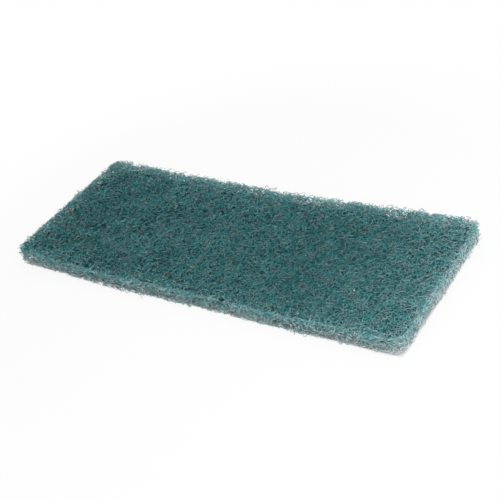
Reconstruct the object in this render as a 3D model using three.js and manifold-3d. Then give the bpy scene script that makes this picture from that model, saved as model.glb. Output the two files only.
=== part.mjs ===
// A nylon scouring pad: one thick mat of crimped nylon fibre, bonded with green abrasive resin and cut to an
// oblong. It is a single piece. Its faces are pitted, its cut is ragged, stray loops of fibre stand out of the
// cut, and it lies flat in its middle while both ends curl up a little.
//
// Millimetres, +Z up. The origin is the middle of the pad on the surface that it rests on, and X is its length.

import * as THREE from "three";
import { SimplexNoise } from "three/addons/math/SimplexNoise.js";
import { mergeVertices } from "three/addons/utils/BufferGeometryUtils.js";
import Module from "manifold-3d";

// The cut mat
const MAT_LENGTH = 247;
const MAT_WIDTH = 96;
const MAT_THICKNESS = 9.5;
const CORNER_RADIUS = 6;
const EDGE_PINCH = 0.5; // how far the blade has pressed in each face along the cut

// The curl of its ends
const FLAT_LENGTH = 60; // the middle stretch that lies flat
const LEFT_CURL = 3.2; // rise of the -X end
const RIGHT_CURL = 2.2; // rise of the +X end

// Its matted faces and its cut
const FACET_PITCH = 3.7; // spacing of the points that carry the surface
const WALL_ROWS = 3; // rows of facets between the two faces
const PIT_SPACING = 8; // from one open pit between the fibres to the next
const PIT_DEPTH = 2;
const FINE_PITS = 2.3; // how many times closer together the finer pits are
const FINE_SHARE = 0.4; // how much of the depth comes from the finer pits
const LAND_RADIUS = 6; // the level spot in the middle of each face
const CUT_WANDER = 0.9; // how far the cut strays either way

// The stray loops of fibre along the cut
const LOOP_THICKNESS = 0.9;
const LOOP_SPACING = 14;
const LOOP_ROOT = 2.5; // how deep both ends of a loop are bonded into the mat
const LOOP_MARGIN = 1.8; // least distance from a loop to the level of either face
const WIDEST_LOOP = 9;
const TALLEST_LOOP = 2; // how far it stands out of the cut
const SMALLEST_LOOP = 0.4; // as a share of the widest and the tallest
const LOOP_LEAN = 0.25; // how far its crown leans over, as a share of its width
const LOOP_STRAY = 0.2; // how far it lies from its even place, as a share of the spacing
const LOOP_SIDES = 4;
const LOOP_STEPS = 7;

const TOUCH = 0.001; // what lies this close together is at the same place
const SEED = 7;

const RESIN_GREEN = 0x3f6f70;

const wasm = await Module();
wasm.setup();

THREE.MathUtils.seededRandom(SEED);
const noise = new SimplexNoise({ random: () => THREE.MathUtils.seededRandom() });

// A random number from low to high, the same sequence each time.
function between(low, high) {
  return low + (high - low) * THREE.MathUtils.seededRandom();
}

// The three.js geometry as a solid that can be joined to another.
function solidOf(geometry) {
  const bare = geometry.index ? geometry.toNonIndexed() : geometry.clone();
  bare.deleteAttribute("normal");
  bare.deleteAttribute("uv");
  const merged = mergeVertices(bare, TOUCH);
  return new wasm.Manifold(
    new wasm.Mesh({
      numProp: 3,
      vertProperties: merged.attributes.position.array,
      triVerts: new Uint32Array(merged.index.array),
    }),
  );
}

// The solid as a three.js geometry.
function geometryOf(solid) {
  const mesh = solid.getMesh();
  const geometry = new THREE.BufferGeometry();
  geometry.setAttribute("position", new THREE.BufferAttribute(mesh.vertProperties, mesh.numProp));
  geometry.setIndex(new THREE.BufferAttribute(mesh.triVerts, 1));
  geometry.computeVertexNormals();
  return geometry;
}

// How high the resting mat has curled at x: nothing over the flat stretch, then more and more towards an end.
function curlAt(x) {
  const curling = Math.max(0, Math.abs(x) - FLAT_LENGTH / 2) / (MAT_LENGTH / 2 - FLAT_LENGTH / 2);
  return (x < 0 ? LEFT_CURL : RIGHT_CURL) * curling ** 2;
}

// How deep a face is pitted at (x, y). Between the pits the outer fibres lie level.
function pitAt(x, y, layer) {
  const across = x / PIT_SPACING;
  const up = y / PIT_SPACING;
  const wide = noise.noise3d(across, up, layer);
  const fine = noise.noise3d(across * FINE_PITS, up * FINE_PITS, layer);
  const clearOfLand = THREE.MathUtils.smoothstep(Math.hypot(x, y), LAND_RADIUS, 2 * LAND_RADIUS);
  return PIT_DEPTH * Math.max(0, THREE.MathUtils.lerp(wide, fine, FINE_SHARE)) * clearOfLand;
}

// How far the cut has strayed outwards at a point of it.
function strayAt(point) {
  const { x, y, z } = point.clone().divideScalar(FACET_PITCH);
  return CUT_WANDER * noise.noise3d(x, y, z);
}

// 1 or -1 for a point on one of the block's two sides, which lie extent apart, and 0 for a point between them.
function sideOf(coordinate, extent) {
  return extent / 2 - Math.abs(coordinate) < TOUCH ? Math.sign(coordinate) : 0;
}

// Brings a point that lies outside the rounded corner of the oblong onto it.
function roundCorner(point) {
  const centreX = Math.sign(point.x) * (MAT_LENGTH / 2 - CORNER_RADIUS);
  const centreY = Math.sign(point.y) * (MAT_WIDTH / 2 - CORNER_RADIUS);
  const outX = (point.x - centreX) * Math.sign(point.x);
  const outY = (point.y - centreY) * Math.sign(point.y);
  const reach = Math.hypot(outX, outY);
  if (outX > 0 && outY > 0 && reach > CORNER_RADIUS) {
    point.x = centreX + ((point.x - centreX) * CORNER_RADIUS) / reach;
    point.y = centreY + ((point.y - centreY) * CORNER_RADIUS) / reach;
  }
}

// Takes a point of the plain block to its place on the mat.
function shape(point) {
  const face = sideOf(point.z, MAT_THICKNESS);
  const end = sideOf(point.x, MAT_LENGTH);
  const edge = sideOf(point.y, MAT_WIDTH);
  const onCut = end !== 0 || edge !== 0;
  const sunk = pitAt(point.x, point.y, face) + (onCut ? EDGE_PINCH : 0);
  const rise = MAT_THICKNESS / 2 + curlAt(point.x);
  const stray = strayAt(point);
  point.x += end * stray;
  point.y += edge * stray;
  point.z += rise - face * sunk;
  roundCorner(point);
}

// The mat: a finely divided block whose faces are pitted, whose cut strays, and whose ends curl.
function mat() {
  const columns = Math.round(MAT_LENGTH / FACET_PITCH);
  const rows = Math.round(MAT_WIDTH / FACET_PITCH);
  const geometry = new THREE.BoxGeometry(MAT_LENGTH, MAT_WIDTH, MAT_THICKNESS, columns, rows, WALL_ROWS);
  const position = geometry.attributes.position;
  const point = new THREE.Vector3();
  for (let i = 0; i < position.count; i++) {
    point.fromBufferAttribute(position, i);
    shape(point);
    position.setXYZ(i, point.x, point.y, point.z);
  }
  return solidOf(geometry);
}

// One loop of fibre. foot is where it stands on the cut, out points away from the mat, and along follows the cut.
function fibreLoop(foot, out, along) {
  const width = between(SMALLEST_LOOP, 1) * WIDEST_LOOP;
  const height = between(SMALLEST_LOOP, 1) * TALLEST_LOOP;
  const lean = between(-LOOP_LEAN, LOOP_LEAN) * width;
  const at = (alongBy, outBy) => {
    const level = between(LOOP_MARGIN, MAT_THICKNESS - LOOP_MARGIN) + curlAt(foot.x);
    return foot.clone().addScaledVector(along, alongBy).addScaledVector(out, outBy).setZ(level);
  };
  const path = new THREE.CatmullRomCurve3([
    at(-width / 2, -LOOP_ROOT),
    at(-width / 2, 0),
    at(lean, height - LOOP_THICKNESS / 2),
    at(width / 2, 0),
    at(width / 2, -LOOP_ROOT),
  ]);
  const circle = new THREE.Shape().absarc(0, 0, LOOP_THICKNESS / 2, 0, 2 * Math.PI);
  const section = new THREE.Shape(circle.getPoints(LOOP_SIDES).slice(0, LOOP_SIDES));
  return solidOf(new THREE.ExtrudeGeometry(section, { steps: LOOP_STEPS, extrudePath: path }));
}

// Loops along one straight cut of the given length, whose middle is centre.
function loopsAlong(centre, out, along, length) {
  const count = Math.floor((length - 2 * CORNER_RADIUS) / LOOP_SPACING);
  const loops = [];
  for (let i = 0; i < count; i++) {
    const place = (i + 0.5 - count / 2 + between(-LOOP_STRAY, LOOP_STRAY)) * LOOP_SPACING;
    const foot = centre.clone().addScaledVector(along, place);
    loops.push(fibreLoop(foot, out, along));
  }
  return loops;
}

// The whole pad, with its middle at the origin.
function pad() {
  const lengthwise = new THREE.Vector3(1, 0, 0);
  const crosswise = new THREE.Vector3(0, 1, 0);
  let solid = mat();
  for (const side of [-1, 1]) {
    const outOfEdge = crosswise.clone().multiplyScalar(side);
    const outOfEnd = lengthwise.clone().multiplyScalar(side);
    const edge = outOfEdge.clone().multiplyScalar(MAT_WIDTH / 2);
    const end = outOfEnd.clone().multiplyScalar(MAT_LENGTH / 2);
    const edgeLoops = loopsAlong(edge, outOfEdge, lengthwise, MAT_LENGTH);
    const endLoops = loopsAlong(end, outOfEnd, crosswise, MAT_WIDTH);
    for (const loop of [...edgeLoops, ...endLoops]) solid = solid.add(loop);
  }
  const geometry = geometryOf(solid);
  geometry.computeBoundingBox();
  const middle = geometry.boundingBox.getCenter(new THREE.Vector3());
  geometry.translate(-middle.x, -middle.y, 0);
  const finish = new THREE.MeshStandardMaterial({ color: RESIN_GREEN, roughness: 0.9, metalness: 0 });
  const mesh = new THREE.Mesh(geometry, finish);
  mesh.name = "pad";
  return mesh;
}

const scouringPad = new THREE.Group();
scouringPad.add(pad());

export default scouringPad;
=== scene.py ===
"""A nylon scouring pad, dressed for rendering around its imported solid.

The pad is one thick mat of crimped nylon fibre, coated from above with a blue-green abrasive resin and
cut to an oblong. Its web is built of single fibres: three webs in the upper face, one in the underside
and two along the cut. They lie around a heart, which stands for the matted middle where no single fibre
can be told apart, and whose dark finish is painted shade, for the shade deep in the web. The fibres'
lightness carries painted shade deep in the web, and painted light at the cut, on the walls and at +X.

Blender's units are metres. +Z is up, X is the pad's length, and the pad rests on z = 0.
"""

import logging
import math
from abc import ABC, abstractmethod
from dataclasses import dataclass, field, replace
from enum import Enum
from typing import Union

import bpy
import numpy as np
from mathutils import Matrix, Vector


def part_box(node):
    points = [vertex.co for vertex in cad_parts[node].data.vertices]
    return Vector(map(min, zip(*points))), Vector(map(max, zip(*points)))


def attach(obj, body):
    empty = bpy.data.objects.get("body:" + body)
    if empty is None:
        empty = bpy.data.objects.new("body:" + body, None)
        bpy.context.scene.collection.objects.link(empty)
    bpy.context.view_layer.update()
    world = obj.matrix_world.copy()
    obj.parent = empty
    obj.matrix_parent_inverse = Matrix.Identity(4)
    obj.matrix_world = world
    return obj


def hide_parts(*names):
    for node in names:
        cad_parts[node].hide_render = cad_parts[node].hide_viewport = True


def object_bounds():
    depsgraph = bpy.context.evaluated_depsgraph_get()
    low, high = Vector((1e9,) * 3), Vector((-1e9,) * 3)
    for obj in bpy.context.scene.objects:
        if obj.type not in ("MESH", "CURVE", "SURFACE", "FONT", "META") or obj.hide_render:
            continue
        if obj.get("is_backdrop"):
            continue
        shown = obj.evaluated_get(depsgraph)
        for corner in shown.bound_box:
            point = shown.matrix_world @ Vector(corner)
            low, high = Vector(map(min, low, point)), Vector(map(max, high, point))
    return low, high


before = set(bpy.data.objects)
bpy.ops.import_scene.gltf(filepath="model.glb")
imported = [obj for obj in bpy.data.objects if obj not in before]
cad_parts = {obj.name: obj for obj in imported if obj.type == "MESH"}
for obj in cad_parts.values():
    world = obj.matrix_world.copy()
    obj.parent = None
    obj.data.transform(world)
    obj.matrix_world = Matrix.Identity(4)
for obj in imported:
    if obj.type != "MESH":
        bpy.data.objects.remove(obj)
cad_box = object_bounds()

MM = 0.001
BODY = "root"
SOLID = "pad"
BAKE_MAP = "OFBake"
PHOTO_SIDE = 500  # pixels along each side of the photograph
SENSOR = 36.0  # the camera's sensor width, in millimetres
UP = np.array([0.0, 0.0, 1.0])
WHITE = (1.0, 1.0, 1.0)

Colour = tuple[float, float, float]
Place = tuple[float, float, float]
Feed = Union["Wire", float, tuple[float, ...]]
Paths = tuple[np.ndarray, np.ndarray, np.ndarray, np.ndarray]

log = logging.getLogger("scouring_pad")


def opaque(colour: Colour) -> tuple[float, float, float, float]:
    """Returns the colour with full alpha, as a colour socket takes it."""
    return (*colour, 1.0)


def put(name: str, data: bpy.types.ID) -> bpy.types.Object:
    """Makes an object and links it to the scene.

    Args:
        name: The object's name.
        data: Its mesh, its camera or its lamp.

    Returns:
        The object.
    """
    thing = bpy.data.objects.new(name, data)
    bpy.context.scene.collection.objects.link(thing)
    return thing


class Wire:
    """A value on its way through a node tree. Operators on wires add Math nodes."""

    def __init__(self, sheet: "NodeSheet", socket: bpy.types.NodeSocket | None) -> None:
        """Wraps one output socket.

        Args:
            sheet: The node tree that the socket is in.
            socket: The output that the value comes from.
        """
        self.sheet = sheet
        self.socket = socket

    def _maths(self, operation: str, first: Feed, second: Feed) -> "Wire":
        """Adds one Math node.

        Args:
            operation: The Math node's operation.
            first: The value for its first socket.
            second: The value for its second socket.

        Returns:
            The node's result.
        """
        return self.sheet.add("ShaderNodeMath", {"operation": operation}, {0: first, 1: second})

    def __add__(self, other: Feed) -> "Wire":
        """Returns self + other."""
        return self._maths("ADD", self, other)

    def __radd__(self, other: Feed) -> "Wire":
        """Returns other + self."""
        return self._maths("ADD", other, self)

    def __sub__(self, other: Feed) -> "Wire":
        """Returns self - other."""
        return self._maths("SUBTRACT", self, other)

    def __rsub__(self, other: Feed) -> "Wire":
        """Returns other - self."""
        return self._maths("SUBTRACT", other, self)

    def __mul__(self, other: Feed) -> "Wire":
        """Returns self * other."""
        return self._maths("MULTIPLY", self, other)

    def __rmul__(self, other: Feed) -> "Wire":
        """Returns other * self."""
        return self._maths("MULTIPLY", other, self)


class NodeSheet:
    """The node tree of one material or world, with one way to add a node."""

    def __init__(self, tree: bpy.types.NodeTree) -> None:
        """Starts an empty tree.

        Args:
            tree: The tree, whose default nodes are removed.
        """
        self.tree = tree
        self.tree.nodes.clear()

    def add(
        self,
        kind: str,
        settings: dict[str, object] | None = None,
        feeds: dict[str | int, Feed] | None = None,
        output: str | int = 0,
    ) -> Wire:
        """Adds one node.

        Args:
            kind: The node's type.
            settings: Its properties by name, set first.
            feeds: What each input takes, by the socket's name or number: a wire, a number or a tuple.
            output: The output to return, by name or number.

        Returns:
            The wire out of the chosen output.
        """
        node = self.tree.nodes.new(kind)
        for name, value in (settings or {}).items():
            setattr(node, name, value)
        for name, value in (feeds or {}).items():
            if isinstance(value, Wire):
                self.tree.links.new(value.socket, node.inputs[name])
            else:
                node.inputs[name].default_value = value
        return Wire(self, node.outputs[output] if node.outputs else None)

    def mix(self, factor: Feed, first: Wire | Colour, second: Wire | Colour, kind: str = "MIX") -> Wire:
        """Mixes two colours.

        Args:
            factor: How much of the second colour is used.
            first: The first colour.
            second: The second colour.
            kind: The Mix node's blend type.

        Returns:
            The mixed colour.
        """
        ends = [end if isinstance(end, Wire) else opaque(end) for end in (first, second)]
        feeds = {"Factor": factor, 6: ends[0], 7: ends[1]}
        return self.add("ShaderNodeMix", {"data_type": "RGBA", "blend_type": kind}, feeds, output=2)

    def shaded(self, colour: Wire, gain: Wire) -> Wire:
        """Returns the colour, as many times as light as the gain says."""
        grey = self.add("ShaderNodeCombineColor", {}, {"Red": gain, "Green": gain, "Blue": gain})
        return self.mix(1.0, colour, grey, kind="MULTIPLY")

    def noise(self, place: Wire, scale: float, detail: float = 2.0, output: str | int = 0) -> Wire:
        """Adds a noise texture.

        Args:
            place: The coordinate that it is read at.
            scale: Its scale, in features for each unit of the coordinate.
            detail: How many finer octaves it has.
            output: The output to return, by name or number.

        Returns:
            Its value, from 0 to 1, or its colour.
        """
        feeds = {"Vector": place, "Scale": scale, "Detail": detail}
        return self.add("ShaderNodeTexNoise", {}, feeds, output)

    def axis(self, place: Wire, name: str) -> Wire:
        """Returns one coordinate of a place: its X, its Y or its Z."""
        return self.add("ShaderNodeSeparateXYZ", {}, {"Vector": place}, name)

    def mask(self, value: Wire, start: float, stop: float) -> Wire:
        """Adds a smooth rise.

        Args:
            value: The value that it follows.
            start: Where it leaves 0.
            stop: Where it comes to 1.

        Returns:
            The mask, from 0 to 1.
        """
        feeds = {"Value": value, "From Min": start, "From Max": stop}
        return self.add("ShaderNodeMapRange", {"interpolation_type": "SMOOTHSTEP"}, feeds)

    def seen(self) -> Wire:
        """Adds the test of whether light runs straight, by gloss or through glass to the camera.

        Returns:
            1 where it does, and 0 elsewhere.
        """
        kinds = ("Is Camera Ray", "Is Glossy Ray", "Is Transmission Ray")
        camera, glossy, through = (self.add("ShaderNodeLightPath", output=kind) for kind in kinds)
        settings = {"operation": "ADD", "use_clamp": True}
        return self.add("ShaderNodeMath", settings, {0: camera + glossy, 1: through})


@dataclass(frozen=True)
class Finish(ABC):
    """A finish, whose kinds draw their own nodes.

    Attributes:
        name: The name of its material.
    """

    name: str

    @abstractmethod
    def draw(self, sheet: NodeSheet) -> Wire:
        """Draws the nodes.

        Args:
            sheet: The empty tree to draw them in.

        Returns:
            The shader.
        """

    def material(self) -> bpy.types.Material:
        """Builds the material.

        Returns:
            The material, ready for a piece.
        """
        material = bpy.data.materials.new(self.name)
        material.use_nodes = True
        sheet = NodeSheet(material.node_tree)
        sheet.add("ShaderNodeOutputMaterial", {}, {"Surface": self.draw(sheet)})
        return material


@dataclass(frozen=True)
class FibreFinish(Finish):
    """Crimped nylon with abrasive resin on it.

    Its colour depends on the fibre map alone, so that it bakes true. The map's U is how light a stretch
    of fibre is, painted shade and painted light included, and its V is how much resin covers it, less
    where a painted sheen pales the +X end.
    """

    name: str = "resin_coated_fibre"
    raw: Colour = (0.40, 0.41, 0.415)
    coated: Colour = (0.05, 0.24, 0.248)
    grain: Colour = (0.45, 0.60, 0.60)
    darkest: float = 0.45
    lightest: float = 1.9
    grain_scale: float = 160.0
    grain_share: float = 0.06
    roughness: float = 0.78
    roughness_spread: float = 0.2
    sheen: float = 0.15
    grain_height: float = 0.03 * MM

    def draw(self, sheet: NodeSheet) -> Wire:
        """Draws the nodes.

        Args:
            sheet: The empty tree to draw them in.

        Returns:
            The shader.
        """
        place = sheet.add("ShaderNodeUVMap", {"uv_map": BAKE_MAP})
        grains = sheet.noise(place, self.grain_scale)
        tint = sheet.mix(sheet.axis(place, "Y"), self.raw, self.coated)
        tint = sheet.mix(grains * self.grain_share, tint, self.grain)
        lightness = sheet.axis(place, "X")
        tint = sheet.shaded(tint, lightness * (self.lightest - self.darkest) + self.darkest)
        bump = sheet.add("ShaderNodeBump", {}, {"Distance": self.grain_height, "Height": grains})
        feeds = {
            "Base Color": tint,
            "Roughness": grains * self.roughness_spread + self.roughness,
            "Specular IOR Level": self.sheen,
            "Normal": bump,
        }
        return sheet.add("ShaderNodeBsdfPrincipled", {}, feeds)


@dataclass(frozen=True)
class HeartFinish(Finish):
    """The shaded middle of the web: paler threads over dark gaps, green above, grey beside, pale below.

    What faces up by less than `side_below` is a side, and what faces up by more than `above_from` is the
    top. The same holds for what faces down. The dark gaps and threads above and beside are painted shade,
    for the shade deep in the web. From `painted_light_from` to `painted_light_to` along X it turns from
    `painted_light_least` times as light as written to `painted_light_most` times: painted light, lighter
    towards the lamp at the +X end.
    """

    name: str = "matted_heart_painted_shade"
    # The dark gaps and threads above and beside are painted shade, for the shade deep in the web.
    gap: Colour = (0.02, 0.085, 0.09)
    thread: Colour = (0.035, 0.14, 0.145)
    side_gap: Colour = (0.05, 0.075, 0.078)
    side_thread: Colour = (0.12, 0.16, 0.165)
    base_gap: Colour = (0.13, 0.17, 0.175)
    base_thread: Colour = (0.30, 0.35, 0.36)
    thread_scale: float = 620.0
    bend_scale: float = 380.0
    bend_detail: float = 1.0
    bend: float = 1.6 * MM
    thread_width: float = 0.22
    side_below: float = 0.2
    above_from: float = 0.7
    # Painted light: the heart grows lighter along X, towards the lamp at +X.
    painted_light_from: float = -10.0 * MM
    painted_light_to: float = 110.0 * MM
    painted_light_least: float = 0.85
    painted_light_most: float = 1.55
    roughness: float = 0.9
    sheen: float = 0.1
    thread_height: float = 0.4 * MM

    def draw(self, sheet: NodeSheet) -> Wire:
        """Draws the nodes.

        Args:
            sheet: The empty tree to draw them in.

        Returns:
            The shader.
        """
        place = sheet.add("ShaderNodeTexCoord", output="Object")
        stray = sheet.noise(place, self.bend_scale, self.bend_detail, output="Color")
        feeds = {0: stray, 1: (self.bend,) * 3, 2: place}
        bent = sheet.add("ShaderNodeVectorMath", {"operation": "MULTIPLY_ADD"}, feeds)
        feeds = {"Vector": bent, "Scale": self.thread_scale}
        edge = sheet.add("ShaderNodeTexVoronoi", {"feature": "DISTANCE_TO_EDGE"}, feeds, "Distance")
        threads = 1 - sheet.mask(edge, 0.0, self.thread_width)
        upward = sheet.axis(sheet.add("ShaderNodeTexCoord", output="Normal"), "Z")
        above = sheet.mask(upward, self.side_below, self.above_from)
        below = sheet.mask(upward, -self.side_below, -self.above_from)
        gap = sheet.mix(below, sheet.mix(above, self.side_gap, self.gap), self.base_gap)
        thread = sheet.mix(below, sheet.mix(above, self.side_thread, self.thread), self.base_thread)
        # Painted light: lighter along X, towards the lamp at +X.
        along = {"Value": sheet.axis(place, "X"), "From Min": self.painted_light_from, "From Max": self.painted_light_to}
        gain = sheet.add("ShaderNodeMapRange", {}, {**along, "To Min": self.painted_light_least, "To Max": self.painted_light_most})
        tint = sheet.shaded(sheet.mix(threads, gap, thread), gain)
        bump = sheet.add("ShaderNodeBump", {}, {"Distance": self.thread_height, "Height": threads})
        feeds = {"Base Color": tint, "Roughness": self.roughness, "Normal": bump}
        return sheet.add("ShaderNodeBsdfPrincipled", {}, {**feeds, "Specular IOR Level": self.sheen})


@dataclass(frozen=True)
class FleckFinish(Finish):
    """A scrap of bare white nylon."""

    name: str = "bare_white_nylon"
    colour: Colour = (0.80, 0.91, 0.92)
    shade: Colour = (0.64, 0.78, 0.80)
    streak_scale: float = 900.0
    roughness: float = 0.5

    def draw(self, sheet: NodeSheet) -> Wire:
        """Draws the nodes.

        Args:
            sheet: The empty tree to draw them in.

        Returns:
            The shader.
        """
        place = sheet.add("ShaderNodeTexCoord", output="Object")
        tint = sheet.mix(sheet.noise(place, self.streak_scale), self.colour, self.shade)
        return sheet.add("ShaderNodeBsdfPrincipled", {}, {"Base Color": tint, "Roughness": self.roughness})


class Face(Enum):
    """The two faces of the mat."""

    UPPER = "upper"
    UNDER = "under"


@dataclass(frozen=True)
class Sway:
    """A stretch where one long side of the cut strays from the straight.

    Attributes:
        side: 1 for the side at +Y, and -1 for the one at -Y.
        middle: The x of its middle.
        width: How far it reaches to either side of that.
        shift: How far it strays along Y.
    """

    side: int
    middle: float
    width: float
    shift: float

    def at(self, x: np.ndarray, share: np.ndarray) -> np.ndarray:
        """Reads the shift.

        Args:
            x: Places along the length.
            share: Where they lie across the width, from -1 to 1.

        Returns:
            How far each place is shifted along Y.
        """
        near = np.exp(-(((x - self.middle) / self.width) ** 2))
        return self.shift * near * np.clip(self.side * share, 0, 1) ** 2


@dataclass
class MatForm:
    """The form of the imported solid, which every fibre follows.

    Attributes:
        stray: How far the stray loops of the solid stand out past its cut.
        corners: The radius of the corners at its -X and its +X end.
        station_gap: The distance between the places along X where its level is read.
        outline_gap: The distance between the points that the outline is kept by.
        back_curve: How late the nearness to the back rises, where 1 makes it rise evenly.
        sways: Where its long sides stray from the straight.
    """

    stray: float = 1.45 * MM
    corners: tuple[float, float] = (5.0 * MM, 9.0 * MM)
    station_gap: float = 6.0 * MM
    outline_gap: float = 0.5 * MM
    back_curve: float = 6.0
    sways: tuple[Sway, ...] = (
        Sway(side=-1, middle=-65.0 * MM, width=45.0 * MM, shift=-1.5 * MM),
        Sway(side=1, middle=22.0 * MM, width=32.0 * MM, shift=-1.7 * MM),
        Sway(side=1, middle=2.0 * MM, width=10.0 * MM, shift=-0.9 * MM),
    )
    half_length: float = field(init=False)
    half_width: float = field(init=False)
    thickness: float = field(init=False)

    def __post_init__(self) -> None:
        """Reads the sizes, the levels and the outline from the solid."""
        low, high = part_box(SOLID)
        self.half_length = (high.x - low.x) / 2 - self.stray
        self.half_width = (high.y - low.y) / 2 - self.stray
        points = np.array([vertex.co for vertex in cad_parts[SOLID].data.vertices])
        self._read_levels(points)
        self._draw_outline()

    def _read_levels(self, points: np.ndarray) -> None:
        """Finds how high the underside lies along X, and how thick the mat is.

        Args:
            points: The solid's vertices.
        """
        count = round(2 * self.half_length / self.station_gap)
        self.stations = np.linspace(-self.half_length, self.half_length, count)
        near = np.abs(points[:, 0, None] - self.stations) < self.station_gap
        heights = points[:, 2, None]
        self.undersides = np.where(near, heights, np.inf).min(0)
        tops = np.where(near, heights, -np.inf).max(0)
        self.thickness = float(np.median(tops - self.undersides))

    def _draw_outline(self) -> None:
        """Samples the outline of the cut, anticlockwise, with its outward normals."""
        places, normals = [], []
        for number, (end, side) in enumerate(((1, -1), (1, 1), (-1, 1), (-1, -1))):
            corner = self.corners[end > 0]
            arc_points = max(2, round(corner * math.pi / 2 / self.outline_gap))
            angles = np.linspace(number - 1, number, arc_points) * math.pi / 2
            normal = np.stack([np.cos(angles), np.sin(angles)], 1)
            middle = np.array([end * (self.half_length - corner), side * (self.half_width - corner)])
            places.append(middle + corner * normal)
            normals.append(normal)
        places.append(places[0][:1])
        normals.append(normals[0][:1])
        self.outline = np.concatenate(places)
        self.normals = np.concatenate(normals)
        steps = np.linalg.norm(np.diff(self.outline, axis=0), axis=1)
        self.along = np.concatenate([[0.0], np.cumsum(steps)])

    @property
    def perimeter(self) -> float:
        """Returns the length of the cut."""
        return float(self.along[-1])

    def level(self, x: np.ndarray) -> np.ndarray:
        """Returns how high the underside lies at each x."""
        return np.interp(x, self.stations, self.undersides)

    def behind(self, y: np.ndarray) -> np.ndarray:
        """Returns how near each place is to the back of the mat, from 0 to 1 and rising late."""
        return np.clip(y / self.half_width, 0, 1) ** self.back_curve

    def swayed(self, x: np.ndarray, y: np.ndarray) -> np.ndarray:
        """Returns the y of each place, once the sides' strays have shifted it."""
        return y + sum(sway.at(x, y / self.half_width) for sway in self.sways)

    def inward(self, x: np.ndarray, y: np.ndarray) -> np.ndarray:
        """Measures from the cut.

        Args:
            x: Places along the length.
            y: Places across the width.

        Returns:
            The distance from the cut, which is negative outside the mat.
        """
        corner = np.where(x > 0, self.corners[1], self.corners[0])
        past_x = np.abs(x) - (self.half_length - corner)
        past_y = np.abs(y) - (self.half_width - corner)
        outside = np.hypot(np.maximum(past_x, 0), np.maximum(past_y, 0))
        return corner - outside - np.minimum(np.maximum(past_x, past_y), 0)

    def from_cut(self, along: np.ndarray, inward: np.ndarray) -> tuple[np.ndarray, np.ndarray]:
        """Finds places beside the cut.

        Args:
            along: How far round the outline each place is.
            inward: How far inside the cut each place is.

        Returns:
            The x and y of the places.
        """
        wrapped = np.mod(along, self.perimeter)
        place = [np.interp(wrapped, self.along, self.outline[:, axis]) for axis in (0, 1)]
        normal = [np.interp(wrapped, self.along, self.normals[:, axis]) for axis in (0, 1)]
        length = np.hypot(*normal)
        return place[0] - inward * normal[0] / length, place[1] - inward * normal[1] / length


@dataclass
class Ripple:
    """Smooth random relief or patchiness over the pad, made of many plane waves.

    Attributes:
        size: The distance from one patch to the next.
        seed: The seed of the waves.
        waves: How many waves are added up.
        spread: How much the waves' lengths differ, as a share of the size.
    """

    size: float
    seed: int
    waves: int = 28
    spread: float = 0.45

    def __post_init__(self) -> None:
        """Draws the waves."""
        random = np.random.default_rng(self.seed)
        lengths = self.size * random.uniform(1 - self.spread, 1 + self.spread, self.waves)
        headings = random.uniform(0, 2 * math.pi, self.waves)
        self.pull = 2 * math.pi / lengths * np.array([np.cos(headings), np.sin(headings)])
        self.start = random.uniform(0, 2 * math.pi, self.waves)

    def at(self, x: np.ndarray, y: np.ndarray) -> np.ndarray:
        """Reads the ripple.

        Args:
            x: Places along the length.
            y: Places across the width.

        Returns:
            Its value at each place, about -1 to 1 and 0 on average.
        """
        total = np.zeros_like(x)
        for (pull_x, pull_y), start in zip(self.pull.T, self.start):
            total += np.cos(pull_x * x + pull_y * y + start)
        return total / math.sqrt(self.waves)

    def part(
        self, x: np.ndarray, y: np.ndarray, opening: float | np.ndarray
    ) -> tuple[np.ndarray, np.ndarray]:
        """Draws points aside from where the ripple is high, which opens a pit there.

        Args:
            x: Places along the length.
            y: Places across the width.
            opening: How far the pits open at each, where 1 empties the middle of most of them.

        Returns:
            The x and y of the places, once drawn aside.
        """
        reach = opening * (self.size / (2 * math.pi)) ** 2 / math.sqrt(self.waves)
        drawn_x, drawn_y = x.copy(), y.copy()
        for (pull_x, pull_y), start in zip(self.pull.T, self.start):
            slope = np.sin(pull_x * x + pull_y * y + start)
            drawn_x += reach * pull_x * slope
            drawn_y += reach * pull_y * slope
        return drawn_x, drawn_y


@dataclass(frozen=True)
class Crimp:
    """How a crimped fibre wanders: its heading swings in a short wave on a long one.

    Attributes:
        step: The length of one straight piece of fibre.
        points: The number of points along a fibre.
        short: The least and greatest length of the short waves.
        long: The least and greatest length of the long waves.
        short_swing: The most that a short wave turns the fibre, in radians.
        long_swing: The most that a long wave turns it, in radians.
        bob: The least and greatest length of the waves of its height.
    """

    step: float = 1.0 * MM
    points: int = 36
    short: tuple[float, float] = (3.2 * MM, 6.5 * MM)
    long: tuple[float, float] = (10.0 * MM, 24.0 * MM)
    short_swing: float = 0.9
    long_swing: float = 1.5
    bob: tuple[float, float] = (5.0 * MM, 11.0 * MM)

    def wave(self, random: np.random.Generator, fibres: int, lengths: tuple[float, float]) -> np.ndarray:
        """Draws one wave for each fibre.

        Args:
            random: The source of random numbers.
            fibres: How many fibres there are.
            lengths: The least and greatest length of the waves.

        Returns:
            The wave's value, from -1 to 1, by fibre and point.
        """
        travelled = np.arange(self.points) * self.step
        length = random.uniform(*lengths, (fibres, 1))
        start = random.uniform(0, 2 * math.pi, (fibres, 1))
        return np.sin(2 * math.pi * travelled / length + start)

    def wander(self, random: np.random.Generator, fibres: int) -> tuple[np.ndarray, np.ndarray]:
        """Draws the path of each fibre in the plane of the mat, from (0, 0).

        Args:
            random: The source of random numbers.
            fibres: How many fibres there are.

        Returns:
            The two coordinates of each fibre's points.
        """
        heading = random.uniform(0, 2 * math.pi, (fibres, 1))
        heading = heading + self.short_swing * self.wave(random, fibres, self.short)
        heading = heading + self.long_swing * self.wave(random, fibres, self.long)
        first = np.cumsum(np.cos(heading), axis=1) * self.step
        second = np.cumsum(np.sin(heading), axis=1) * self.step
        return first, second


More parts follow.
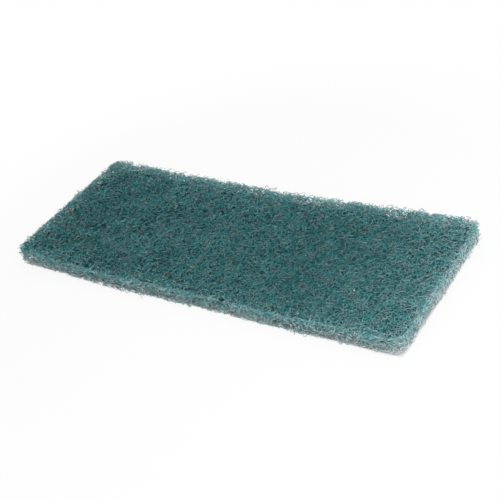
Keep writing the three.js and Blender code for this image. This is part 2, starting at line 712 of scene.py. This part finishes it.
@dataclass
class Strands:
    """The centre lines of many fibres, as arrays by fibre and point.

    Attributes:
        places: The points, with a last axis of x, y and z.
        radii: The radius at each point.
        lightness: How light the fibre is at each point, from 0 to 1.
        cover: How much resin covers it at each point, from 0 to 1.
        kept: Which points are part of the web. The others were cut off with the mat's waste.
    """

    SIDES = 3
    MAP_REACH = 0.006  # half the width of a facet on the fibre map
    MAP_EDGE = 0.01
    UPRIGHT = 1e-6  # the least share of a fibre's run that counts as level

    places: np.ndarray
    radii: np.ndarray
    lightness: np.ndarray
    cover: np.ndarray
    kept: np.ndarray

    def within(self, triangles: int) -> "Strands":
        """Keeps the first whole fibres that a number of triangles is enough for.

        Args:
            triangles: The most triangles that their mesh may have.

        Returns:
            The fibres that are kept.
        """
        pieces = (self.kept[:, 1:] & self.kept[:, :-1]).sum(1)
        ends = (self.kept[:, 1:] != self.kept[:, :-1]).sum(1) + 2
        cost = pieces * 2 * self.SIDES + ends * (self.SIDES - 2)
        chosen = (np.cumsum(cost) <= triangles) & (pieces > 0)
        arrays = (self.places, self.radii, self.lightness, self.cover, self.kept)
        return Strands(*(array[chosen] for array in arrays))

    def rings(self) -> np.ndarray:
        """Works out the section around every point.

        Returns:
            The corners of the sections, by fibre, point, side and coordinate.
        """
        ahead = np.gradient(self.places, axis=1)
        ahead /= np.linalg.norm(ahead, axis=2, keepdims=True)
        across = np.cross(ahead, UP)
        across /= np.maximum(np.linalg.norm(across, axis=2, keepdims=True), self.UPRIGHT)
        above = np.cross(across, ahead)
        turns = np.arange(self.SIDES) * 2 * math.pi / self.SIDES
        cosine, sine = np.cos(turns)[:, None], np.sin(turns)[:, None]
        spoke = across[:, :, None] * cosine + above[:, :, None] * sine
        return self.places[:, :, None] + spoke * self.radii[:, :, None, None]

    def faces(self) -> tuple[np.ndarray, np.ndarray]:
        """Lists the faces by the numbers of their section corners.

        Returns:
            The four-cornered faces along the fibres, and the three-cornered ones that close their ends.
        """
        fibres, points = self.kept.shape
        number = np.arange(fibres * points * self.SIDES).reshape(fibres, points, self.SIDES)
        joined = self.kept[:, 1:] & self.kept[:, :-1]
        here, there = number[:, :-1][joined], number[:, 1:][joined]
        sides = np.stack([here, there, np.roll(there, -1, 1), np.roll(here, -1, 1)], 2)
        before = np.pad(joined, ((0, 0), (1, 0)))
        after = np.pad(joined, ((0, 0), (0, 1)))
        starts = number[after & ~before]
        stops = number[before & ~after]
        return sides.reshape(-1, 4), np.concatenate([starts, stops[:, ::-1]])

    def build(self, name: str, material: bpy.types.Material) -> bpy.types.Object:
        """Makes the mesh of the fibres, with their map.

        Args:
            name: The name of the piece.
            material: The finish of the fibres.

        Returns:
            The piece, linked to the scene.
        """
        corners = self.rings().reshape(-1, 3)
        quads, ends = self.faces()
        indices = np.concatenate([quads.ravel(), ends.ravel()])
        used, indices = np.unique(indices, return_inverse=True)
        totals = np.concatenate([np.full(len(quads), 4), np.full(len(ends), self.SIDES)])
        mesh = bpy.data.meshes.new(name)
        mesh.vertices.add(len(used))
        mesh.vertices.foreach_set("co", corners[used].ravel())
        mesh.loops.add(len(indices))
        mesh.loops.foreach_set("vertex_index", indices)
        mesh.polygons.add(len(totals))
        mesh.polygons.foreach_set("loop_start", np.cumsum(totals) - totals)
        mesh.polygons.foreach_set("use_smooth", np.ones(len(totals), bool))
        mesh.update(calc_edges=True)
        self._draw_map(mesh, quads, ends)
        mesh.materials.append(material)
        return put(name, mesh)

    def _draw_map(self, mesh: bpy.types.Mesh, quads: np.ndarray, ends: np.ndarray) -> None:
        """Sets the fibre map, where each face lies around its first point's lightness and cover.

        Args:
            mesh: The mesh, whose faces are the quads and then the ends.
            quads: The faces along the fibres.
            ends: The faces that close them.
        """
        values = np.stack([self.lightness.ravel(), self.cover.ravel()], 1)
        reach = self.MAP_REACH
        square = reach * np.array([(-1, -1), (1, -1), (1, 1), (-1, 1)])
        triangle = reach * np.array([(-1, -1), (1, -1), (0, 1)])
        parts = []
        for faces, shape in ((quads, square), (ends, triangle)):
            middles = values[faces[:, 0] // self.SIDES]
            middles = np.clip(middles, reach + self.MAP_EDGE, 1 - reach - self.MAP_EDGE)
            parts.append((middles[:, None] + shape).reshape(-1, 2))
        layer = mesh.uv_layers.new(name=BAKE_MAP)
        layer.uv.foreach_set("vector", np.concatenate(parts).ravel())


@dataclass
class FibreLook:
    """What the fibres of every web have in common.

    The radii lie between `thin` and `thick`, and beads of resin vary them. A tone is a share of lightness
    and a cover is a share of resin, from 0 to 1. `tone` and `top_cover` are those of the upper face on
    average. The fields after them are named after what changes that: patches, and places in the mat.
    `buried` is deep in the web, `foot` low in the cut, `crease` right at the cut, `loose` outside it,
    `back` at the back of the mat, `dull` a round patch, and `pale` the +X end. The buried fibres are
    darker by painted shade, for the shade deep in the web. The fibres at the foot, at the crease and at
    the pale end are lighter by painted light, and at the pale end a painted sheen takes away some of their
    cover.
    By their tones the loose and dull fibres are darker, and those at the back lighter. By their other
    covers they lack resin. Towards `calm_heading`, from +X, the lightness varies less and the pits between
    the fibres open less.

    Attributes:
        beading: How much the resin's beads vary the radius, as a share of it.
        bead_gap: The least and greatest distance between beads.
        grain_tone: How much the grains stuck to a fibre vary its lightness.
        mean_depth_shade: The painted shade that the fibres have on average, from 0 to 1.
        base_cover: The share of the upper face's resin that covers the lowest fibres.
        cover_curve: How far down the resin reaches: 1 thins it evenly, and more keeps it for longer.
        thin_resin: How much less resin covers a light fibre than a dark one.
        loose_contrast: How much more the lightness of loose fibres varies.
        loose_cover: The share of their resin that they lack.
        pale_base: How much less of the cover the lowest fibres have at the pale end.
        calm_reach: How far from the middle the web is calmest, and at the other side wildest.
    """

    form: MatForm
    thin: float = 0.12 * MM
    thick: float = 0.20 * MM
    beading: float = 0.3
    bead_gap: tuple[float, float] = (2.2 * MM, 4.5 * MM)
    bead_tone: float = 0.1
    tone: float = 0.43
    tone_spread: float = 0.12
    grain_tone: float = 0.46
    patch: Ripple = field(default_factory=lambda: Ripple(10.0 * MM, seed=11))
    fine_patch: Ripple = field(default_factory=lambda: Ripple(3.5 * MM, seed=12))
    patch_tone: float = 0.04
    patch_cover: float = 0.1
    pits: Ripple = field(default_factory=lambda: Ripple(2.2 * MM, seed=13, spread=0.3))
    opening: float = 0.9
    # Painted shade: the deeper a fibre lies in the web, the darker it is painted.
    buried_painted_shade: float = 0.5
    buried_reach: float = 0.5 * MM
    mean_depth_shade: float = 0.7
    # Painted light: fibres low in the cut are painted lighter.
    foot_painted_light: float = 0.22
    top_cover: float = 0.905
    base_cover: float = 0.28
    cover_curve: float = 1.7
    thin_resin: float = 0.05
    # Painted light: the fibres right at the cut are painted lighter; the cut also has less resin.
    crease_painted_light: float = 0.18
    crease_cover: float = 0.115
    crease_reach: float = 5.5 * MM
    loose_tone: float = 0.15
    loose_contrast: float = 0.5
    loose_cover: float = 0.45
    loose_reach: float = 1.5 * MM
    back_tone: float = 0.36
    back_cover: float = 0.08
    dull_at: tuple[float, float] = (66.0 * MM, 32.0 * MM)
    dull_reach: float = 42.0 * MM
    dull_tone: float = 0.09
    pale_from: float = 55.0 * MM
    # Painted light and a painted sheen: the +X end is painted lighter and given less cover.
    pale_painted_light: float = 0.17
    pale_painted_sheen: float = 0.08
    pale_base: float = 0.22
    calm_heading: float = math.radians(-20)
    calm_reach: float = 115.0 * MM
    calm_tone: float = 0.5
    calm_opening: float = 0.6

    def calm(self, x: np.ndarray, y: np.ndarray) -> np.ndarray:
        """Returns how calm the web is at each place, from 0 to 1."""
        toward = x * math.cos(self.calm_heading) + y * math.sin(self.calm_heading)
        return np.clip((toward / self.calm_reach + 1) / 2, 0, 1)

    def dress(self, random: np.random.Generator, crimp: Crimp, paths: Paths) -> Strands:
        """Turns paths into fibres with a thickness, a lightness and a cover of resin.

        Args:
            random: The source of random numbers.
            crimp: How the fibres wander.
            paths: Each point's x, y and rise above the underside, and whether it is kept.

        Returns:
            The fibres.
        """
        x, y, rise, kept = paths
        fibres = len(x)
        radius = random.uniform(self.thin, self.thick, (fibres, 1))
        beads = crimp.wave(random, fibres, self.bead_gap)
        radii = radius * (1 + self.beading * beads)
        pale = np.clip((x - self.pale_from) / (self.form.half_length - self.pale_from), 0, 1)
        tone = random.uniform(-self.tone_spread, self.tone_spread, (fibres, 1)) + self.bead_tone * beads
        tone = tone + random.uniform(-self.grain_tone, self.grain_tone, x.shape)
        share = np.clip(rise / self.form.thickness, 0, 1)
        inward = self.form.inward(x, y)
        loose = np.clip(-inward / self.loose_reach, 0, 1)
        inward = np.maximum(inward, 0)
        calm = self.calm_tone * self.calm(x, y)
        tone *= (1 - calm * share) * (1 + self.loose_contrast * loose)
        patch = self.patch.at(x, y)
        behind = self.form.behind(y)
        crease = np.exp(-inward / self.crease_reach)
        buried = np.minimum(np.minimum(rise, self.form.thickness - rise), inward)
        # Painted shade: lightness falls with depth in the web, around its mean.
        depth_shade = 1 - np.exp(-np.maximum(buried, 0) / self.buried_reach)
        lightness = self.tone + tone - self.loose_tone * loose
        lightness -= self.buried_painted_shade * (1 - calm) * (depth_shade - self.mean_depth_shade)
        # Painted light at the crease of the cut and at the +X end; the back is lighter too.
        lightness += self.crease_painted_light * crease + self.pale_painted_light * pale + self.back_tone * behind
        # Painted light low in the cut, at the foot.
        lightness += self.foot_painted_light * (1 - share) * crease
        off_dull = np.hypot(x - self.dull_at[0], y - self.dull_at[1]) / self.dull_reach
        lightness -= self.dull_tone * np.exp(-(off_dull**2))
        lightness += self.patch_tone * (patch + self.fine_patch.at(x, y))
        # A painted sheen takes cover from the +X end; the crease and the back have less resin.
        cover = self.top_cover - self.crease_cover * crease - self.pale_painted_sheen * pale
        cover -= self.back_cover * behind
        cover += self.patch_cover * patch - self.thin_resin * tone
        cover *= 1 - (1 - self.base_cover + self.pale_base * pale) * (1 - share) ** self.cover_curve
        cover *= 1 - self.loose_cover * loose
        y = self.form.swayed(x, y)
        places = np.stack([x, y, self.form.level(x) + np.maximum(rise, radii)], 2)
        return Strands(places, radii, np.clip(lightness, 0, 1), np.clip(cover, 0, 1), kept)


@dataclass(kw_only=True)
class Web(ABC):
    """A web of crimped fibres, which each kind of web lays out in its own way.

    Attributes:
        look: What the fibres have in common.
        name: The name of the piece.
        seed: The seed of its random numbers.
        triangles: The most triangles that it may have.
        bob: How far a fibre bobs up and down, or in the wall in and out.
        spare: How many times too many fibres are drawn, to make up for what is left out.
        crimp: How the fibres wander.
    """

    look: FibreLook
    name: str
    seed: int
    triangles: int
    bob: float
    spare: float
    crimp: Crimp = field(default_factory=Crimp)

    @abstractmethod
    def lay(self, random: np.random.Generator, fibres: int) -> Paths:
        """Lays out the fibres.

        Args:
            random: The source of random numbers.
            fibres: How many fibres there are.

        Returns:
            Each point's x, y and rise above the underside, and whether it is kept.
        """

    def build(self, material: bpy.types.Material) -> bpy.types.Object:
        """Builds the web.

        Args:
            material: The finish of its fibres.

        Returns:
            The piece.
        """
        random = np.random.default_rng(self.seed)
        fibres = round(self.spare * self.triangles / (2 * Strands.SIDES * self.crimp.points))
        paths = self.lay(random, fibres)
        strands = self.look.dress(random, self.crimp, paths).within(self.triangles)
        return strands.build(self.name, material)


@dataclass(kw_only=True)
class FaceWeb(Web):
    """The fibres in one face of the mat.

    Attributes:
        face: The face that they are in.
        depth: How far below the face the deepest fibres lie.
        unevenness: How far the face rises and falls.
        hill_size: The distance from one rise of the face to the next.
        overshoot: How far the longest cut ends stand out of the cut.
        fray: How far inside the cut the shortest ones lie, so that the web thins out towards it.
        back_fray: How much farther than that it is along the back.
        waste: How far outside the mat fibres begin, whose outer ends are then cut off.
    """

    face: Face = Face.UPPER
    triangles: int = 170_000
    depth: float = 1.5 * MM
    bob: float = 0.35 * MM
    unevenness: float = 0.2 * MM
    hill_size: float = 12.0 * MM
    overshoot: float = 1.8 * MM
    fray: float = 6.0 * MM
    back_fray: float = 0.9
    waste: float = 18.0 * MM
    spare: float = 1.8

    def lay(self, random: np.random.Generator, fibres: int) -> Paths:
        """Lays out the fibres, as Web.lay says.

        Args:
            random: The source of random numbers.
            fibres: How many fibres there are.

        Returns:
            Their paths.
        """
        form = self.look.form
        x, y = self.crimp.wander(random, fibres)
        x += random.uniform(-1, 1, (fibres, 1)) * (form.half_length + self.waste)
        y += random.uniform(-1, 1, (fibres, 1)) * (form.half_width + self.waste)
        opening = self.look.opening * (1 - self.look.calm_opening * self.look.calm(x, y))
        x, y = self.look.pits.part(x, y, opening)
        hills = Ripple(self.hill_size, seed=self.seed + 1)
        below = random.uniform(0, self.depth, (fibres, 1))
        below = below + self.bob * (1 + self.crimp.wave(random, fibres, self.crimp.bob))
        below = below + self.unevenness * (1 + hills.at(x, y))
        rise = form.thickness - below if self.face is Face.UPPER else below
        cut_at = random.uniform(-self.overshoot, self.fray, (fibres, 1))
        kept = form.inward(x, y) > cut_at * (1 + self.back_fray * form.behind(y))
        return x, y, rise, kept


@dataclass(kw_only=True)
class CutWeb(Web):
    """The fibres along the cut, which fill the wall of the mat and stand out of it in loops.

    Attributes:
        deepest: The least and greatest distance that the fibres reach inside the cut.
        longest_loop: How far the longest loops stand out of the cut.
        low_loop: The share of that which is left at the foot of the cut.
        cut_open: The least and greatest share of its reach that a loop keeps, where 1 leaves it whole.
    """

    name: str = "cut_web"
    seed: int = 41
    triangles: int = 150_000
    deepest: tuple[float, float] = (2.0 * MM, 8.5 * MM)
    longest_loop: float = 3.4 * MM
    low_loop: float = 0.9
    cut_open: tuple[float, float] = (0.6, 1.1)
    bob: float = 1.3 * MM
    spare: float = 1.3

    def lay(self, random: np.random.Generator, fibres: int) -> Paths:
        """Lays out the fibres, as Web.lay says.

        Args:
            random: The source of random numbers.
            fibres: How many fibres there are.

        Returns:
            Their paths.
        """
        form = self.look.form
        along, across = self.crimp.wander(random, fibres)
        along += random.uniform(0, form.perimeter, (fibres, 1))
        share = np.sqrt(random.uniform(0, 1, (fibres, 1)))
        longest = self.longest_loop * (self.low_loop + (1 - self.low_loop) * share)
        outermost = -longest * random.uniform(0, 1, (fibres, 1)) ** 2
        band = random.uniform(*self.deepest, (fibres, 1)) - outermost
        across += random.uniform(0, 2, (fibres, 1)) * band
        inward = outermost + band * (1 - np.cos(math.pi * across / band)) / 2
        x, y = form.from_cut(along, inward)
        rise = share * form.thickness + self.bob * self.crimp.wave(random, fibres, self.crimp.bob)
        rise = np.clip(rise, 0, form.thickness - self.look.thick)
        kept = inward > outermost * random.uniform(*self.cut_open, (fibres, 1))
        return x, y, rise, kept


@dataclass(kw_only=True)
class WallWeb(Web):
    """The fibres that climb and fall in the wall of the cut, crowded where they turn along its rims.

    Attributes:
        skin: How far inside the cut the fibres reach.
        opening: How far the pits between the fibres open.
        crowding: How much the fibres crowd along the rims, from 0 to 1.
        back_gaps: The share of them that the back lacks.
    """

    name: str = "wall_web"
    seed: int = 61
    triangles: int = 130_000
    skin: float = 1.4 * MM
    bob: float = 0.3 * MM
    opening: float = 0.65
    crowding: float = 0.3
    back_gaps: float = 0.5
    spare: float = 1.4

    def lay(self, random: np.random.Generator, fibres: int) -> Paths:
        """Lays out the fibres, as Web.lay says.

        Args:
            random: The source of random numbers.
            fibres: How many fibres there are.

        Returns:
            Their paths.
        """
        form = self.look.form
        along, climb = self.crimp.wander(random, fibres)
        along += random.uniform(0, form.perimeter, (fibres, 1))
        height = form.thickness - self.look.thick
        climb += random.uniform(0, 2, (fibres, 1)) * height
        turn = np.cos(math.pi * climb / height)
        even = np.arccos(turn) / math.pi
        rise = height * (self.crowding * (1 - turn) / 2 + (1 - self.crowding) * even)
        along, rise = self.look.pits.part(along, rise, self.opening)
        rise = np.clip(rise, 0, height)
        inward = self.skin * random.uniform(0, 1, (fibres, 1))
        inward = inward + self.bob * self.crimp.wave(random, fibres, self.crimp.bob)
        x, y = form.from_cut(along, inward)
        kept = form.behind(y) * self.back_gaps < random.uniform(0, 1, (fibres, 1))
        return x, y, rise, kept


@dataclass
class Heart:
    """The matted middle of the web, an uneven slab.

    Attributes:
        form: The mat that it is in.
        name: The name of the piece.
        below_top: How far it lies below the upper face.
        above_base: How far it lies above the underside.
        inset: How far inside the cut its rims lie.
        spacing: The distance between its points.
        relief: How far its surface rises and falls.
        bulge_size: The distance from one rise to the next.
        rounding: How far from its rim its upper face starts to round over.
        droop: How much lower its upper rim lies than the rest of that face.
        raggedness: How far its rims stray in and out.
        ragged_size: The distance from one stray to the next.
        top_seed: The seed of its top's relief.
        base_seed: The seed of its bottom's relief.
        rag_seeds: The seeds of its rims' strays along X and along Y.
    """

    form: MatForm
    # A dark slab in painted shade, for the shade deep in the web, as well as its matted middle.
    name: str = "mat_heart_painted_shade"
    below_top: float = 2.3 * MM
    above_base: float = 1.2 * MM
    inset: float = 4.8 * MM
    spacing: float = 1.5 * MM
    relief: float = 0.3 * MM
    bulge_size: float = 4.0 * MM
    rounding: float = 3.0 * MM
    droop: float = 0.7 * MM
    raggedness: float = 0.9 * MM
    ragged_size: float = 7.0 * MM
    top_seed: int = 51
    base_seed: int = 52
    rag_seeds: tuple[int, int] = (53, 54)

    def _sheet(self, rise: float, droop: float, seed: int) -> np.ndarray:
        """Works out the points of its top or bottom.

        Args:
            rise: How high it lies above the mat's underside.
            droop: How much lower its rim lies.
            seed: The seed of its relief.

        Returns:
            The points, by column, row and coordinate.
        """
        reaches = (self.form.half_length - self.inset, self.form.half_width - self.inset)
        sides = (self.form.half_length, self.form.half_width)
        columns, rows = (round(2 * side / self.spacing) for side in sides)
        x = np.linspace(-1, 1, columns)[:, None] * reaches[0] + np.zeros(rows)
        y = np.linspace(-1, 1, rows) * reaches[1] + np.zeros((columns, 1))
        from_rim = np.minimum(reaches[0] - np.abs(x), reaches[1] - np.abs(y))
        rim = np.clip(1 - from_rim / self.rounding, 0, 1)
        rise = rise - droop * rim**2 + self.relief * Ripple(self.bulge_size, seed).at(x, y)
        rags = [Ripple(self.ragged_size, rag_seed).at(x, y) for rag_seed in self.rag_seeds]
        x, y = (place + self.raggedness * rim * rag for place, rag in zip((x, y), rags))
        return np.stack([x, self.form.swayed(x, y), self.form.level(x) + rise], 2)

    def build(self, material: bpy.types.Material) -> bpy.types.Object:
        """Builds the heart.

        Args:
            material: Its finish.

        Returns:
            The piece.
        """
        top = self._sheet(self.form.thickness - self.below_top, self.droop, self.top_seed)
        base = self._sheet(self.above_base, 0.0, self.base_seed)
        columns, rows = top.shape[:2]
        number = np.arange(2 * columns * rows).reshape(2, columns, rows)
        faces = []
        for layer, turn in ((1, 1), (0, -1)):
            grid = number[layer]
            quads = np.stack([grid[:-1, :-1], grid[1:, :-1], grid[1:, 1:], grid[:-1, 1:]], 2)
            faces.append(quads.reshape(-1, 4)[:, ::turn])
        rims = [number[:, :, 0], number[:, -1, :], number[:, ::-1, -1], number[:, 0, ::-1]]
        for lower, upper in rims:
            faces.append(np.stack([lower[:-1], lower[1:], upper[1:], upper[:-1]], 1))
        mesh = bpy.data.meshes.new(self.name)
        points = np.concatenate([base.reshape(-1, 3), top.reshape(-1, 3)])
        mesh.from_pydata(points.tolist(), [], np.concatenate(faces).tolist())
        mesh.polygons.foreach_set("use_smooth", np.ones(len(mesh.polygons), bool))
        mesh.materials.append(material)
        return put(self.name, mesh)


@dataclass(frozen=True)
class Viewpoint:
    """Where the photograph was taken from, with the camera held at a slant.

    Attributes:
        azimuth: The direction of view, where 0 looks along +Y.
        elevation: Its height above the horizon.
        roll: How far the camera leans.
        distance: How far it is from the point that it looks at.
        focal_pixels: Its focal length, in pixels of the photograph.
        looks_at: The point in the middle of the picture.
        nearest: The least distance that it sees.
        farthest: The greatest distance that it sees.
    """

    azimuth: float = math.radians(41.2)
    elevation: float = math.radians(35.25)
    roll: float = math.radians(15.2)
    distance: float = 547.4 * MM
    focal_pixels: float = 986.7
    looks_at: Place = (5.6 * MM, 3.3 * MM, 0.0)
    nearest: float = 0.01
    farthest: float = 20.0

    @property
    def turn(self) -> Matrix:
        """Returns the camera's rotation, whose columns are its right, its up and its back."""
        level = math.cos(self.elevation)
        back = Vector(
            (math.sin(self.azimuth) * level, -math.cos(self.azimuth) * level, math.sin(self.elevation))
        )
        right = Vector((math.cos(self.azimuth), math.sin(self.azimuth), 0))
        up = back.cross(right)
        leaning_right = math.cos(self.roll) * right - math.sin(self.roll) * up
        leaning_up = math.sin(self.roll) * right + math.cos(self.roll) * up
        return Matrix((leaning_right, leaning_up, back)).transposed()

    @property
    def place(self) -> Vector:
        """Returns where the camera stands."""
        return Vector(self.looks_at) + self.turn.col[2] * self.distance

    def ray(self, pixel: tuple[float, float]) -> Vector:
        """Returns the direction of view through a pixel of the photograph."""
        across = pixel[0] - PHOTO_SIDE / 2
        down = pixel[1] - PHOTO_SIDE / 2
        return (self.turn @ Vector((across, -down, -self.focal_pixels))).normalized()

    def build(self) -> bpy.types.Object:
        """Makes the camera.

        Returns:
            The camera, set as the scene's.
        """
        lens = bpy.data.cameras.new("camera")
        lens.sensor_width = SENSOR
        lens.lens = self.focal_pixels / PHOTO_SIDE * SENSOR
        lens.clip_start, lens.clip_end = self.nearest, self.farthest
        camera = put("camera", lens)
        camera.matrix_world = Matrix.Translation(self.place) @ self.turn.to_4x4()
        bpy.context.scene.camera = camera
        return camera


@dataclass
class Fleck:
    """The one short white fibre caught in the upper face.

    Attributes:
        form: The mat that it lies on.
        viewpoint: The camera, through which its place was read.
        pixel: Its place in the photograph.
        name: The name of the piece.
        length: Its length.
        radius: Its radius.
        heading: The direction that it lies in, from +X.
        bow: How far its ends bow aside, as a share of its length.
        bluntness: How blunt its ends are, where 0 would bring them to a point.
        points: The number of points along it.
        map_value: Its lightness and cover on the fibre map, which its own finish doesn't read.
    """

    form: MatForm
    viewpoint: Viewpoint
    pixel: tuple[float, float] = (354.5, 291.5)
    name: str = "white_fleck"
    length: float = 1.3 * MM
    radius: float = 0.26 * MM
    heading: float = math.radians(75)
    bow: float = 0.15
    bluntness: float = 0.05
    points: int = 9
    map_value: float = 0.5

    def build(self, material: bpy.types.Material) -> bpy.types.Object:
        """Builds the fleck.

        Args:
            material: Its finish.

        Returns:
            The piece.
        """
        start, ray = self.viewpoint.place, self.viewpoint.ray(self.pixel)
        middle = start + ray * (self.form.thickness - start.z) / ray.z
        share = np.linspace(-1, 1, self.points)
        bow = self.bow * self.length * share**2
        x = middle.x + share * self.length / 2 * math.cos(self.heading) - bow * math.sin(self.heading)
        y = middle.y + share * self.length / 2 * math.sin(self.heading) + bow * math.cos(self.heading)
        z = self.form.level(x) + self.form.thickness + self.radius / 2
        places = np.stack([x, y, z], 1)[None]
        radii = self.radius * np.sqrt(1 + self.bluntness - share**2)[None]
        flat = np.full((1, self.points), self.map_value)
        strands = Strands(places, radii, flat, flat, np.ones((1, self.points), bool))
        return strands.build(self.name, material)


@dataclass(frozen=True)
class FloorFinish(Finish):
    """The floor, which looks white and keeps the pad's shadow.

    Attributes:
        form: The mat that lies on it.
        colour: Its colour.
        glow: How much of its white the camera sees by the pad, whatever falls on it.
        under: How far inside the cut it stops glowing, and how far inside it starts to dim.
        fade_from: How far from the middle it starts to turn plain white.
        fade_to: How far from the middle it is plain white.
    """

    form: MatForm
    colour: Colour = (0.9, 0.9, 0.9)
    glow: float = 0.88
    under: tuple[float, float] = (2.4 * MM, 0.6 * MM)
    fade_from: float = 0.13
    fade_to: float = 0.25

    def _bare(self, sheet: NodeSheet, place: Wire) -> Wire:
        """Adds the test of whether the mat leaves the floor bare.

        Args:
            sheet: The tree to add it to.
            place: The place on the floor.

        Returns:
            1 where it does, and 0 under the mat.
        """
        sides = (self.form.half_length, self.form.half_width, 0)
        past = sheet.add("ShaderNodeVectorMath", {"operation": "ABSOLUTE"}, {0: place})
        past = sheet.add("ShaderNodeVectorMath", {"operation": "SUBTRACT"}, {0: past, 1: sides})
        feeds = {0: sheet.axis(past, "X"), 1: sheet.axis(past, "Y")}
        farthest = sheet.add("ShaderNodeMath", {"operation": "MAXIMUM"}, feeds)
        return sheet.mask(farthest, -self.under[0], -self.under[1])

    def draw(self, sheet: NodeSheet) -> Wire:
        """Draws the nodes.

        Args:
            sheet: The empty tree to draw them in.

        Returns:
            The shader.
        """
        matt = sheet.add("ShaderNodeBsdfDiffuse", {}, {"Color": opaque(self.colour)})
        bright = sheet.add("ShaderNodeEmission", {}, {"Color": opaque(WHITE), "Strength": 1.0})
        place = sheet.add("ShaderNodeTexCoord", output="Object")
        away = sheet.add("ShaderNodeVectorMath", {"operation": "LENGTH"}, {0: place}, "Value")
        glowing = self.glow + (1 - self.glow) * sheet.mask(away, self.fade_from, self.fade_to)
        share = sheet.seen() * glowing * self._bare(sheet, place)
        return sheet.add("ShaderNodeMixShader", {}, {0: share, 1: matt, 2: bright})


@dataclass(frozen=True)
class Studio:
    """The pale floor and the plain soft light around the pad.

    Attributes:
        finish: The floor's finish.
        floor_size: The width of the floor.
        sky: How bright the light from all round is.
        key_place: Where the main lamp hangs.
        key_size: The width of the main lamp.
        key_power: Its power, in watts.
    """

    finish: FloorFinish
    floor_size: float = 4.0
    sky: float = 0.72
    key_place: Place = (0.3, -0.12, 0.22)
    key_size: float = 0.45
    key_power: float = 0.88

    def build(self) -> None:
        """Makes the floor, the world and the lamp."""
        self._lay_floor()
        self._light_world()
        self._hang_lamp()

    def _lay_floor(self) -> None:
        """Makes the floor."""
        half = self.floor_size / 2
        corners = [(-half, -half, 0), (half, -half, 0), (half, half, 0), (-half, half, 0)]
        mesh = bpy.data.meshes.new("floor")
        mesh.from_pydata(corners, [], [(0, 1, 2, 3)])
        mesh.materials.append(self.finish.material())
        floor = put("floor", mesh)
        floor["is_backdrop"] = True

    def _light_world(self) -> None:
        """Lights the world evenly, and shows it white."""
        world = bpy.data.worlds.new("studio")
        world.use_nodes = True
        sheet = NodeSheet(world.node_tree)
        strength = self.sky + (1 - self.sky) * sheet.seen()
        glow = sheet.add("ShaderNodeBackground", {}, {"Color": opaque(WHITE), "Strength": strength})
        sheet.add("ShaderNodeOutputWorld", {}, {"Surface": glow})
        bpy.context.scene.world = world

    def _hang_lamp(self) -> None:
        """Hangs the main lamp, facing the pad."""
        lamp = bpy.data.lights.new("key", "AREA")
        lamp.shape = "DISK"
        lamp.size = self.key_size
        lamp.energy = self.key_power
        key = put("key", lamp)
        key.location = self.key_place
        key.rotation_euler = (-Vector(self.key_place)).to_track_quat("-Z", "Y").to_euler()


@dataclass
class ScouringPad:
    """The whole pad.

    Attributes:
        form: The form of its mat.
        viewpoint: The camera, through which the fleck's place was read.
        fibre: The finish of its fibres.
        heart: The finish of its middle.
        fleck: The finish of the white fleck.
        fill: How full and springy the mat is, from 0 to 1. It is not used.
    """

    UPPER_SEEDS = {"upper_web_first": 21, "upper_web_second": 22, "upper_web_third": 23}
    UNDER_SIZES = {"seed": 31, "triangles": 150_000, "fray": 2.0 * MM}

    form: MatForm
    viewpoint: Viewpoint
    fibre: FibreFinish = FibreFinish()
    heart: HeartFinish = HeartFinish()
    fleck: FleckFinish = FleckFinish()
    fill: float = 0.8

    def build(self) -> list[bpy.types.Object]:
        """Builds every piece and sets it on the solid.

        Returns:
            The pieces.
        """
        look = FibreLook(self.form)
        bare = replace(look, thin=0.17 * MM, thick=0.28 * MM)
        stout = replace(look, thin=0.16 * MM, thick=0.25 * MM, tone=0.38, grain_tone=0.55)
        # The wall web's lighter tone is painted light, for walls that face the lamp with no fibres shading
        # them.
        bright = replace(look, tone=0.56, grain_tone=0.55)
        webs = [FaceWeb(look=look, name=name, seed=seed) for name, seed in self.UPPER_SEEDS.items()]
        webs.append(FaceWeb(look=bare, face=Face.UNDER, name="under_web", **self.UNDER_SIZES))
        webs.append(CutWeb(look=stout))
        webs.append(WallWeb(look=bright))
        coat = self.fibre.material()
        heart = Heart(self.form).build(self.heart.material())
        pieces = [heart, *(web.build(coat) for web in webs)]
        pieces.append(Fleck(self.form, self.viewpoint).build(self.fleck.material()))
        for piece in pieces:
            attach(piece, BODY)
            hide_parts(SOLID)
        return pieces


def main() -> None:
    """Builds the studio, the camera and the pad, and reports each piece."""
    logging.basicConfig(level=logging.INFO, format="%(name)s: %(message)s")
    bpy.context.scene.view_settings.view_transform = "Standard"
    form = MatForm()
    viewpoint = Viewpoint()
    viewpoint.build()
    Studio(FloorFinish("pale_floor", form)).build()
    for piece in ScouringPad(form, viewpoint).build():
        triangles = sum(len(face.vertices) - 2 for face in piece.data.polygons)
        log.info("%s has %d triangles", piece.name, triangles)


if __name__ == "__main__":
    main()
    boxes = {"cad": cad_box, "visual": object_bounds()}
    {name: [list(corner) for corner in box] for name, box in boxes.items()}
